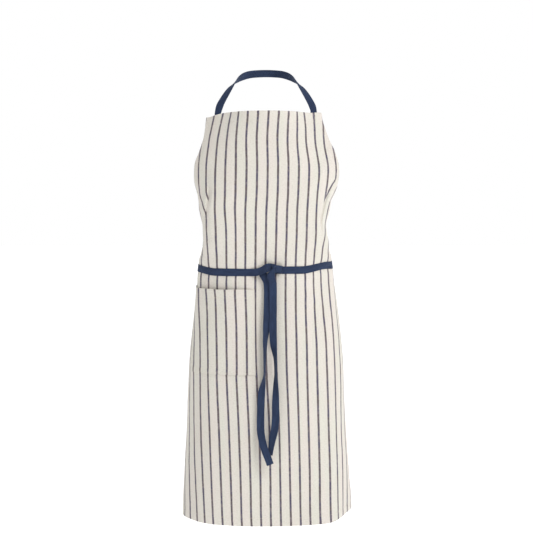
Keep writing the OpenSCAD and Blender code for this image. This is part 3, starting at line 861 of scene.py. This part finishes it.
def fix_normals(ob):
    """faces of a closed piece all point outward"""
    import bmesh
    bm = bmesh.new()
    bm.from_mesh(ob.data)
    bmesh.ops.recalc_face_normals(bm, faces=bm.faces)
    bm.to_mesh(ob.data)
    bm.free()


for h in hems.values():
    fix_normals(h)

# ------------------------------------------------------------------ pocket
PU, PWD, PHT, PV = -95.0, 162.0, 184.0, 388.0


def pocket_lift(a, b):
    gape = 0.45 + 7.5 * np.clip(np.sin(math.pi * np.clip(a, 0, 1)), 0, 1) ** 1.15 * (1 - b) ** 1.9
    gape += 1.1 * np.sin(math.pi * np.clip(a, 0, 1)) * np.sin(math.pi * b) ** 0.8
    gape += 0.5 * vnoise(a * 5, b * 4, 2) * np.sin(math.pi * np.clip(a, 0, 1)) * np.sin(math.pi * b * 0.9 + 0.2)
    e = np.minimum(a, 1 - a) * PWD
    gape += -0.22 * bell(e, 3.2, 1.3) - 0.25 * bell((1 - b) * PHT, 3.2, 1.3)
    gape += 0.14 * np.sin(b * PHT / 2.2) * bell(e, 3.2, 3) * (b < 1)
    gape += -0.25 * bell(b * PHT, 18.5, 1.4)
    return gape


def pocket_uv(a, b):
    u = PU + (a - 0.5) * PWD
    # the mouth bows down a little, and the foot's corners are square
    v = PV + b * PHT
    v = v + (1 - b) * (2.2 * ss((a - 0.75) / 0.25) * 0 - 4.5 * ss((0.14 - a) / 0.14) + 0.8 * np.sin(math.pi * a))
    return u, v


def on_pocket(a, b, off, full=False):
    u, v = pocket_uv(a, b)
    return on_cloth(u, v, pocket_lift(a, b) + CT + off, full)


def build_pocket():
    # rows: turned-in mouth, fold, face down to the foot; columns the same at both sides
    rows = [(b / PHT, -FI, b / PHT, -BI) for b in (20, 19.2, 17.6, 13, 8, 4, 2.2)]
    c, ra, rb = -FI / 2, FI / 2, (BI - CT) / 2
    for th in np.linspace(0, math.pi, 7):
        rows.append(((1.1 - ra * math.sin(th)) / PHT, c - ra * math.cos(th), (1.1 - rb * math.sin(th)) / PHT, c - rb * math.cos(th)))
    bs = [2.2, 4.5, 8, 12, 15.5, 17.4, 18.5, 19.6, 21.5] + list(np.linspace(25, 176, 46)) + [178.5, 180, 181.2, 182.4, 183.3, 184.0]
    rows += [(b / PHT, 0, b / PHT, -CT) for b in bs]
    rows = np.array(rows)
    ds = [0.0, 0.5, 1.6, 2.6, 3.4, 4.6, 7]
    cols = np.array([d / PWD for d in ds] + list(np.linspace(10, PWD - 10, 46) / PWD) + [1 - d / PWD for d in ds[::-1]])
    ba, oa, bb, ob = rows.T
    aa = np.broadcast_to(cols, (len(rows), len(cols)))
    # edges roll under
    e = np.minimum(aa, 1 - aa) * PWD
    roll = -0.45 * bell(e, 0, 0.7)
    inn = ((oa < -1.5) * 1.0)[:, None]
    shrink = 0.5 + (aa - 0.5) * (1 - inn * 2 * 1.8 / PWD)
    fr = np.clip((ba[:, None] * PHT - 181) / 3, 0, 1)
    # the foot's turned-in allowance makes it twice as thick there
    foot = 0.95 * ss((ba[:, None] * PHT - 171) / 4) * (1 - inn)
    A = on_pocket(shrink, ba[:, None], oa[:, None] + roll + foot - 0.25 * bell(ba[:, None] * PHT, 184, 0.6) * (1 - inn))
    B = on_pocket(shrink, bb[:, None], ob[:, None] + 0 * roll)
    u, v = pocket_uv(aa, ba[:, None])
    b2 = np.clip(ba[:, None], 0, 1)
    own = (4.6 - 1.6 * ss((aa - 0.40) / 0.55)) * (1 - b2) ** 1.3 - 1.6 * np.sin(math.pi * b2) - 3.2 * (1 - 0.5 * b2)
    S = u + stripe_shift(u, np.clip(v, 0, 900)) + own
    cell = np.stack([S[:, :-1], S[:, 1:]], -1)
    uv = np.stack([u + 400, v], -1)
    return double_sheet("pocket_cloth", A, B, M_CLOTH, cell, uv)


pocket = build_pocket()

# --------------------------------------------------------------- stitching
HW = 350.0


def rowline(v0, u0, u1, n=160):
    return [(u, v0) for u in np.linspace(u0, u1, n)]


def edge_run(s0, s1, d, sign):
    s = np.linspace(s0, s1, int((s1 - s0) / 2))
    eu = np.interp(s, E_S, E_P[:, 0]) + np.interp(s, E_S, E_N[:, 0]) * d
    ev = np.interp(s, E_S, E_P[:, 1]) + np.interp(s, E_S, E_N[:, 1]) * d
    return np.stack([sign * eu, ev], -1)


def inside(path, off):
    """the bobbin side of a seam, on the cloth's inner face"""
    def surf(u, v, o):
        P, n, _, _ = on_cloth(u, v, -off - (o - 0.0), full=True)
        return P, -n
    return {"path": path, "off": 0.0, "surf": surf}


st_bib = stitches("stitches_bib_top", [{"path": rowline(23.0, -138, 138), "off": 0.0},
                                       inside(rowline(23.0, -136, 136), FI)], M_THREAD)
st_foot = stitches("stitches_foot", [{"path": rowline(882.0, -340, 340, 300), "off": 0.0},
                                     inside(rowline(882.0, -337, 337, 300), FI)], M_THREAD)
st_side = stitches("stitches_sides", [q for sg in (-1, 1) for q in (
    {"path": edge_run(S280 + 14, S_END - 1, 10.0, sg), "off": 0.0}, inside(edge_run(S280 + 16, S_END - 22, 10.0, sg), 1.8))], M_THREAD)
st_arm = stitches("stitches_armholes", [q for sg in (-1, 1) for q in (
    {"path": edge_run(1.5, S280 + 6, 10.0, sg), "off": 0.0}, inside(edge_run(28, S280 - 12, 10.0, sg), 1.8))], M_THREAD)


def pocket_surf(u, v, o):
    a = (np.asarray(u) - PU) / PWD + 0.5
    b = (np.asarray(v) - PV) / PHT
    P, n, _, _ = on_pocket(a, b, o, full=True)
    return P, n


pk = {"off": 0.0, "surf": pocket_surf, "pitch": 3.0, "length": 2.2}
u0, u1, v0, v1 = PU - PWD / 2 + 3.2, PU + PWD / 2 - 3.2, PV + 1.5, PV + PHT - 3.2
st_pocket = stitches("stitches_pocket", [
    dict(pk, path=[(u0, v0 + k * (v1 - v0) / 60) for k in range(61)]),
    dict(pk, path=[(u0 + 1.5 + k * (u1 - u0 - 3) / 50, v1) for k in range(51)], off=0.95),
    dict(pk, path=[(u1, v1 - k * (v1 - v0) / 60) for k in range(61)]),
    dict(pk, path=[(u0 + 2 + k * (u1 - u0 - 4) / 50, PV + 18.5) for k in range(51)]),
    dict(pk, path=[(u0 - 2.2, PV + 2.2), (u0 + 4.5, PV + 2.2)], pitch=1.1, length=1.0),
    dict(pk, path=[(u1 - 5.5, PV + 2.2), (u1 + 2.4, PV + 2.2)], pitch=1.1, length=1.0)], M_THREAD)


def box_runs(uc, vc, hw_, hh, off=0.0):
    c = [(uc - hw_, vc - hh), (uc + hw_, vc - hh), (uc + hw_, vc + hh), (uc - hw_, vc + hh)]
    rs = []
    for i in range(4):
        a, b = np.array(c[i]), np.array(c[(i + 1) % 4])
        rs.append({"path": [tuple(a + (b - a) * k / 8) for k in range(9)], "off": off, "pitch": 2.3, "length": 1.8})
    for a, b in ((c[0], c[2]), (c[1], c[3])):
        a, b = np.array(a) * 0.92 + np.array([uc, vc]) * 0.08, np.array(b) * 0.92 + np.array([uc, vc]) * 0.08
        rs.append({"path": [tuple(a + (b - a) * k / 8) for k in range(9)], "off": off, "pitch": 2.3, "length": 1.8})
    return rs


st_strap = stitches("stitches_strap_ends", box_runs(-115, 12, 5.6, 8.5) + box_runs(122, 12, 5.6, 8.5), M_THREAD)
st_tie = stitches("stitches_tie_ends", box_runs(-334, 291, 11.5, 5.4) + box_runs(334, 291, 11.5, 5.4), M_THREAD)

# -------------------------------------------------------------- neck strap
SRP = [[0, 0, 0], [18, -3, -0.5], [35, -13, -2], [49, -29, -6], [60, -47, -12],
       [70, -64, -21], [80, -78, -34], [90, -90, -50], [98.5, -98, -66]]
SRW = [[0, 0, 1], [0, 0.05, 1], [-0.1, 0.2, 1], [-0.3, 0.3, 1], [-0.5, 0.25, 0.9],
       [-0.7, 0.15, 0.7], [-0.85, 0, 0.5], [-0.95, -0.15, 0.3], [-0.97, -0.25, 0.12]]


def strap_half():
    """centre and across direction from behind the neck to the sewn right-hand end"""
    P = [list(p) for p in SRP]
    W = [list(w) for w in SRW]
    off = -(FI + 0.95)
    for vv in (-3.0, 3.0, 9.0, 16.0, 23.5):
        q, n, tu, tv = on_cloth(122.0, max(vv, 0.0), off, full=True)
        if vv < 0:
            q = q + np.array([0.3, 1.0, 5.5])
        P.append(q.tolist())
        W.append((-tu).tolist())
    return np.array(P, float), np.array(W, float)


PR, WR = strap_half()
PL = np.array([[-p[0], p[1], p[2]] for p in PR])
# the left end meets the cloth at its own place
for k, vv in enumerate((-3.0, 3.0, 9.0, 16.0, 23.5)):
    q, n, tu, tv = on_cloth(-115.0, max(vv, 0.0), -(FI + 0.95), full=True)
    if vv < 0:
        q = q + np.array([-0.3, 1.0, 5.5])
    PL[len(SRP) + k] = q
WL = np.array([[-w[0], w[1], w[2]] for w in WR])
cp = np.concatenate([PL[::-1], PR[1:]])
cw = np.concatenate([WL[::-1], WR[1:]])
# across vectors: keep one sense from end to end
for i in range(1, len(cw)):
    if np.dot(cw[i], cw[i - 1]) < 0:
        cw[i] = -cw[i]
strap_path = catmull(cp, 8)
strap_w = catmull(cw, 8)
pw, _s = resample(np.concatenate([strap_path, strap_w], 1), 2.0)
strap_path, strap_w = pw[:, :3], pw[:, 3:]
strap_path[:, 1] += 0.8 * np.clip((strap_path[:, 2] + 60) / 30, 0, 1)
T, Wd, Nn = frames_along(strap_path, strap_w)
strap = ribbon("neck_strap_tape", strap_path, Wd, Nn, M_TAPE,
               cup=0.35 * np.sin(_s / 37) + 0.15, width=1 + 0.012 * np.sin(_s / 23))


# --------------------------------------------------------------- waist ties
def tie_tape(name, s):
    """s = +1: sewn at the left back corner, shows on the right front. s = -1 the reverse"""
    P, Wv = [], []
    oin = -(1.8 + 0.95)
    for a in (29, 22, 15, 8, 2, -1.5):
        q, n, tu, tv = on_cloth(-s * (350 - a), 291.0, oin if a > 0 else oin + 0.2, full=True)
        P.append(q)
        Wv.append(-tv)
    A = P[-1].copy()
    ub = 351.0
    B, nb, tub, tvb = on_cloth(s * ub, tie_line(np.array(s * 350.0)), 1.7, full=True)
    WA, WB = Wv[-1], -tvb
    for q in (0.12, 0.25, 0.38, 0.5, 0.62, 0.75, 0.88):
        p = A * (1 - q) + B * q + np.array([0, s * 7.0 * math.sin(math.pi * q), -2.5 * math.sin(math.pi * q)])
        P.append(p)
        Wv.append(WA * (1 - q) + WB * q)
    us = np.concatenate([np.linspace(351, 60, 96), np.linspace(57, 30 if s > 0 else 26, 8)])
    q, n, tu, tv = on_cloth(s * us, tie_line(s * us), 1.55, full=True)
    q2 = on_cloth(s * us, tie_line(s * us) - 7, 1.2)
    q3 = on_cloth(s * us, tie_line(s * us) + 7, 1.2)
    for i in range(len(us)):
        P.append((q[i] * 2 + (q2[i] + q3[i]) * 0.5) / 3)
        Wv.append(unit(q2[i] - q3[i]))
    # into the knot
    if s > 0:
        K = [[34, -171.6, -414.4], [27, -175.6, -412.6], [20, -178.6, -411.4], [13, -177.6, -412.0]]
        KW = [[0.10, 0, 1], [0.16, 0.1, 1], [0.2, 0.15, 1], [0.2, 0.1, 1]]
    else:
        K = [[-24, -170.0, -420.6], [-16, -173.2, -418.8], [-9, -177.0, -415.6], [-2, -180.2, -411.8], [4, -179.8, -409.6], [9.0, -175.6, -409.6], [14, -172.6, -411.0], [19, -171.4, -412.4]]
        KW = [[0.12, 0, 1], [0.22, 0.05, 1], [0.30, 0.1, 1], [0.20, 0.15, 1], [0.0, 0.15, 1], [-0.15, 0.15, 1], [-0.2, 0.1, 1], [-0.2, 0.1, 1]]
    for p, w in zip(K, KW):
        P.append(np.array(p, float))
        Wv.append(np.array(w, float))
    P = np.array(P)
    Wv = np.array(Wv)
    for i in range(1, len(Wv)):
        if np.dot(Wv[i], Wv[i - 1]) < 0:
            Wv[i] = -Wv[i]
    c = catmull(np.concatenate([P, Wv], 1), 4)
    c, sl = resample(c, 2.2)
    p, w = c[:, :3], c[:, 3:]
    T, w, n = frames_along(p, w)
    out = p - np.array([0, -60, 0])
    if np.dot(n[len(n) * 3 // 4], [0, -1, 0]) < 0:
        n = -n
    L = sl[-1]
    wd = 1 + 0.02 * np.sin(sl / 19) - (0.04 if s > 0 else -0.14) * ss((sl - L + 34) / 22)
    cup = 0.25 * np.sin(sl / 29 + s) + (0.9 * ss((sl - L + 26) / 20))
    return ribbon(name, p, w, n, M_TAPE, along=sl, width=wd, cup=-cup), p


tie_l, tie_l_path = tie_tape("waist_tie_left_tape", 1)
tie_r, tie_r_path = tie_tape("waist_tie_right_tape", -1)


# ----------------------------------------------------- knot folds and tails
def tail_tape(name, P, A, mat, width=None, cup=None):
    """P: centre points, A: across angle in degrees about the vertical, 0 = facing front"""
    c = np.concatenate([np.asarray(P, float), np.asarray(A, float)[:, None]], 1)
    c = catmull(c, 10)
    c, sl = resample(c, 2.0)
    p = c[:, :3]
    ang = np.radians(c[:, 3])
    w = np.stack([np.cos(ang), np.sin(ang), np.zeros_like(ang)], -1)
    T, w, n = frames_along(p, w)
    if np.dot(n[3], [0, -1, 0]) < 0:
        n = -n
    wd = 1 + 0.015 * np.sin(sl / 17)
    cp_ = 0.35 * np.sin(sl / 41 + 0.7)
    return p, w, n, sl, wd, cp_


# right tail: folded over at the knot, then down the front. z, x, y, turn of its face
RT = [(-419, 14.6, -182.2, 0), (-430, 14.6, -181.6, 0), (-440, 14.8, -179.4, 2), (-452, 15.0, -178.2, 4),
      (-470, 15.2, -180.2, 2), (-500, 15.2, -185.0, -4), (-535, 15.0, -188.6, -8), (-558, 15.3, -190.2, -14),
      (-574, 16.1, -191.2, -29), (-588, 17.9, -192.2, -48), (-601, 19.5, -193.2, -63), (-618, 20.3, -194.6, -69),
      (-636, 20.7, -196.0, -71), (-647, 20.8, -196.6, -63), (-659, 20.9, -197.2, -50), (-672, 20.9, -197.8, -40),
      (-686, 20.7, -198.2, -25), (-706, 20.4, -198.6, -9), (-735, 20.2, -199.0, -4), (-758, 17.6, -199.2, -12),
      (-778, 13.0, -199.4, -26), (-796, 10.4, -199.6, -46), (-809, 9.6, -199.6, -58)]
# left tail: comes out of the knot low on the left, hangs behind the right one, then swings in front of its end
LT = [(-415, -9.5, -171.4, -4), (-424, -7.0, -172.8, -4), (-431, -2.6, -174.4, -2), (-440, 1.8, -174.0, 0),
      (-452, 3.4, -173.6, 2), (-470, 3.6, -176.0, 2), (-500, 2.8, -181.8, 6), (-530, 1.6, -185.2, 14),
      (-548, 0.3, -186.6, 38), (-566, -1.4, -188.4, 54), (-584, -1.8, -190.2, 63), (-604, -2.2, -191.8, 70),
      (-624, -2.8, -193.0, 76), (-637, -3.2, -193.4, 78), (-647, -4.4, -193.4, 67), (-659, -6.5, -193.0, 47),
      (-671, -8.7, -192.6, 27), (-686, -10.0, -192.0, 12), (-708, -11.0, -191.8, 4), (-740, -11.6, -194.0, -2),
      (-762, -10.8, -198.0, -2), (-782, -7.0, -203.4, 0), (-800, -1.6, -205.8, 6), (-816, 4.6, -206.2, 12),
      (-829, 9.2, -206.0, 16)]

p, w, n, sl, wd, cu = tail_tape("l", [(x, y, z) for z, x, y, a in LT], [a for *_, a in LT], M_TAPE)
tail_l = ribbon("tail_left_tape", p, w, n, M_TAPE, along=sl, width=wd, cup=cu)
tail_l_path = p.copy()

# the fold at the top of the right tail: the tape comes from the right behind,
# turns over a diagonal line and hangs down in front
p, w, n, sl, wd, cu = tail_tape("r", [(x, y, z) for z, x, y, a in RT], [a for *_, a in RT], M_TAPE)


def folded_tail(name):
    sec = tape_section()
    m = len(sec)
    h = TAPE_W / 2
    r = 1.9
    xc, zc = 14.8, -413.4       # where the two middles cross
    yb = p[0][1] + 2 * r        # the layer behind
    V, UV = [], []
    rows = 0
    # unfolded tape runs from the right towards -X at height zc; a = distance past the crossing
    for a in np.arange(-15.2, 19.01, 0.8):
        ring = []
        # gathered where it goes in behind the tie
        gat = 1 - 0.55 * ss((-a - 5) / 10)
        for x, o in sec:
            x = x * gat
            # across: +x section is up on the incoming tape
            q = np.array([xc - a, zc + x])
            e = np.array([1, 1]) / math.sqrt(2)
            pp = np.array([-1, 1]) / math.sqrt(2)
            rel = q - np.array([xc, zc])
            al, de = rel @ e, rel @ pp
            if de <= 0:
                pos = np.array([q[0], yb + 9.5 * ss((-a - 3) / 13), q[1]])
                nv = np.array([0, 1.0, 0])
            elif de < math.pi * r:
                th = de / r
                c = np.array([xc, zc]) + al * e + r * math.sin(th) * pp
                pos = np.array([c[0], yb - r * (1 - math.cos(th)), c[1]])
                nv = np.array([math.sin(th) * pp[0], math.cos(th), math.sin(th) * pp[1]])
            else:
                c = np.array([xc, zc]) + al * e - (de - math.pi * r) * pp
                pos = np.array([c[0], yb - 2 * r, c[1]])
                nv = np.array([0, -1.0, 0])
            # soften: the layer bulges a little in the middle
            pos = pos + np.array([0, -0.8 * math.exp(-((pos[0] - 15) / 7) ** 2 - ((pos[2] + 411) / 7) ** 2), 0])
            ring.append(pos + nv * o)
            UV.append((x, a, np.sign(o)))
        V.append(ring)
        rows += 1
    # then down, taking over smoothly from the flat fold
    last_c = np.mean(V[-1], axis=0)
    z_end = last_c[2]
    k0 = int(np.searchsorted(-p[:, 2], -(z_end - 1.5)))
    for i in range(k0, len(p)):
        f = ss((p[i][2] - (z_end - 1.5)) / -14.0)
        base = p[i] * f + np.array([last_c[0], last_c[1], p[i][2]]) * (1 - f)
        ring = []
        for x, o in sec:
            oo = o + cu[i] * f * ((x / 8) ** 2 - 0.35)
            ring.append(base - w[i] * x * wd[i] * -1 * -1 + n[i] * oo)
            UV.append((x, 19 + sl[i] - sl[k0] + 1.5, np.sign(o)))
        V.append(ring)
        rows += 1
    V = np.array(V)
    return V, np.array(UV), rows, m


V, UV, rows, m = folded_tail("r")
# match the section's sense where the two parts meet
join = int(round((19.01 + 13) / 0.8)) + 1
jj = None
for k in range(1, rows):
    d0 = np.linalg.norm(V[k] - V[k - 1], axis=1).max()
    if d0 > 9:
        jj = k
if jj is not None:
    sec = tape_section()
    # mirrored across: reverse the across sense of the lower rows
    mirror = [int(np.argmin(np.linalg.norm(sec - np.array([-q[0], q[1]]), axis=1))) for q in sec]
    V[jj:] = V[jj:][:, mirror]
idx = np.arange(rows * m).reshape(rows, m)
jn = np.roll(np.arange(m), -1)
a_, b_, c_, d_ = idx[:-1], idx[1:], idx[1:][:, jn], idx[:-1][:, jn]
f = np.stack([a_, b_, c_, d_], -1).reshape(-1, 4).tolist() + [idx[0].tolist()[::-1], idx[-1].tolist()]
tail_r = make_object("tail_right_tape", V.reshape(-1, 3), f, M_TAPE, [True] * (len(f) - 2) + [False, False], None,
                     {"cloth": ("FLOAT_VECTOR", UV)})
fix_normals(tail_r)
fix_normals(tail_l)
for o in (strap, tie_l, tie_r):
    fix_normals(o)

# ----------------------------------------------------- bodies, and the CAD parts these replace hidden
for o in (panel, pocket, *hems.values()):
    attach(o, "apron")
for o in (st_bib, st_foot, st_side, st_arm, st_pocket, st_strap, st_tie):
    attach(o, "apron")
for o in (tie_l, tie_r):
    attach(o, "apron")
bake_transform(strap)
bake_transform(tail_l)
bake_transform(tail_r)

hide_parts("body_panel", "bib_top_hem", "foot_hem")
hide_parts("armhole_hem_left")
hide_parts("armhole_hem_right")
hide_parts("side_hem_left")
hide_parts("side_hem_right")
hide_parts("pocket_patch", "pocket_mouth_hem")
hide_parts("neck_strap", "neck_strap_end_left", "neck_strap_end_right")
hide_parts("waist_tie_left", "tie_end_left", "knot_turn_right")
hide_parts("waist_tie_right", "tie_end_right", "knot_turn_left")
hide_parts("tail_root_left", "tail_left")
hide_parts("tail_root_right", "tail_right")
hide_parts("bib_seam_thread")
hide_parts("foot_seam_thread")
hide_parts("side_seam_thread")
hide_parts("pocket_seam_thread")
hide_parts("strap_tack_thread")
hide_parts("tie_tack_thread")


def flat_area():
    v = np.linspace(0, 900, 1801)
    a = 2 * float(np.trapezoid(half_w(v), v)) if hasattr(np, "trapezoid") else 2 * float(np.trapz(half_w(v), v))
    return (a + 25 * 296 + 20 * 700) * 1e-6


flat_area()


# ---------------------------------------------------------- floor and light
def stage_floor():
    xs = np.linspace(-9, 9, 13)
    ys = np.linspace(-9, 12, 15)
    z = -1.35
    verts = [(x, y, z) for y in ys for x in xs]
    n = len(xs)
    faces = [(j * n + i, j * n + i + 1, (j + 1) * n + i + 1, (j + 1) * n + i) for j in range(len(ys) - 1) for i in range(n - 1)]
    me = bpy.data.meshes.new("floor")
    me.from_pydata(verts, [], faces)
    ob = bpy.data.objects.new("floor", me)
    bpy.context.scene.collection.objects.link(ob)
    mt = bpy.data.materials.new("floor_white")
    mt.use_nodes = True
    b = mt.node_tree.nodes["Principled BSDF"]
    b.inputs["Base Color"].default_value = (0.9, 0.9, 0.9, 1)
    b.inputs["Roughness"].default_value = 0.9
    b.inputs["Specular IOR Level"].default_value = 0.1
    b.inputs["Emission Color"].default_value = (1, 1, 1, 1)
    b.inputs["Emission Strength"].default_value = 0.6
    me.materials.append(mt)


stage_floor()

world = bpy.data.worlds.new("studio")
bpy.context.scene.world = world
world.use_nodes = True
nt = world.node_tree
nt.nodes.clear()
wo = nt.nodes.new("ShaderNodeOutputWorld")
bg = nt.nodes.new("ShaderNodeBackground")
tc = nt.nodes.new("ShaderNodeTexCoord")
dot = nt.nodes.new("ShaderNodeVectorMath")
dot.operation = "DOT_PRODUCT"
dot.inputs[1].default_value = (0.45, 0.85, 0.28)
mr = nt.nodes.new("ShaderNodeMapRange")
mr.interpolation_type = "SMOOTHSTEP"
mr.inputs["From Min"].default_value = -0.95
mr.inputs["From Max"].default_value = 0.45
mr.inputs["To Min"].default_value = 0.27
mr.inputs["To Max"].default_value = 0.82
nt.links.new(tc.outputs["Generated"], dot.inputs[0])
nt.links.new(dot.outputs["Value"], mr.inputs["Value"])
lp = nt.nodes.new("ShaderNodeLightPath")
st = nt.nodes.new("ShaderNodeMath")
st.operation = "MAXIMUM"
nt.links.new(mr.outputs[0], st.inputs[0])
nt.links.new(lp.outputs["Is Camera Ray"], st.inputs[1])
nt.links.new(st.outputs[0], bg.inputs["Strength"])
bg.inputs["Color"].default_value = (1, 1, 1, 1)
nt.links.new(bg.outputs[0], wo.inputs[0])


def area_light(name, loc, aim, size, power, color=(1, 1, 1)):
    L = bpy.data.lights.new(name, "AREA")
    L.shape = "SQUARE"
    L.size = size
    L.energy = power
    L.color = color
    o = bpy.data.objects.new(name, L)
    o.location = loc
    o.rotation_euler = (Vector(aim) - Vector(loc)).to_track_quat("-Z", "Y").to_euler()
    bpy.context.scene.collection.objects.link(o)
    return o


area_light("key", (1.35, -2.0, 1.5), (0.0, -0.15, -0.3), 1.2, 43, (1, 0.99, 0.98))
area_light("fill", (-1.9, -2.6, 1.5), (0.0, -0.15, -0.25), 1.8, 10, (1, 0.975, 0.955))

scene = bpy.context.scene
scene.view_settings.view_transform = "Standard"
scene.view_settings.look = "None"

cam = bpy.data.cameras.new("camera")
cam.sensor_width = 36.0
D = 5.42
EL = math.radians(5.1)
cam.lens = 36.0 * D / (533 * 0.0022)
cam.clip_end = 100
co = bpy.data.objects.new("camera", cam)
tgt = Vector((0.0011, 0.0, -0.423))
co.location = tgt + Vector((0, -D * math.cos(EL), D * math.sin(EL)))
co.rotation_euler = (tgt - co.location).to_track_quat("-Z", "Y").to_euler()
scene.collection.objects.link(co)
scene.camera = co

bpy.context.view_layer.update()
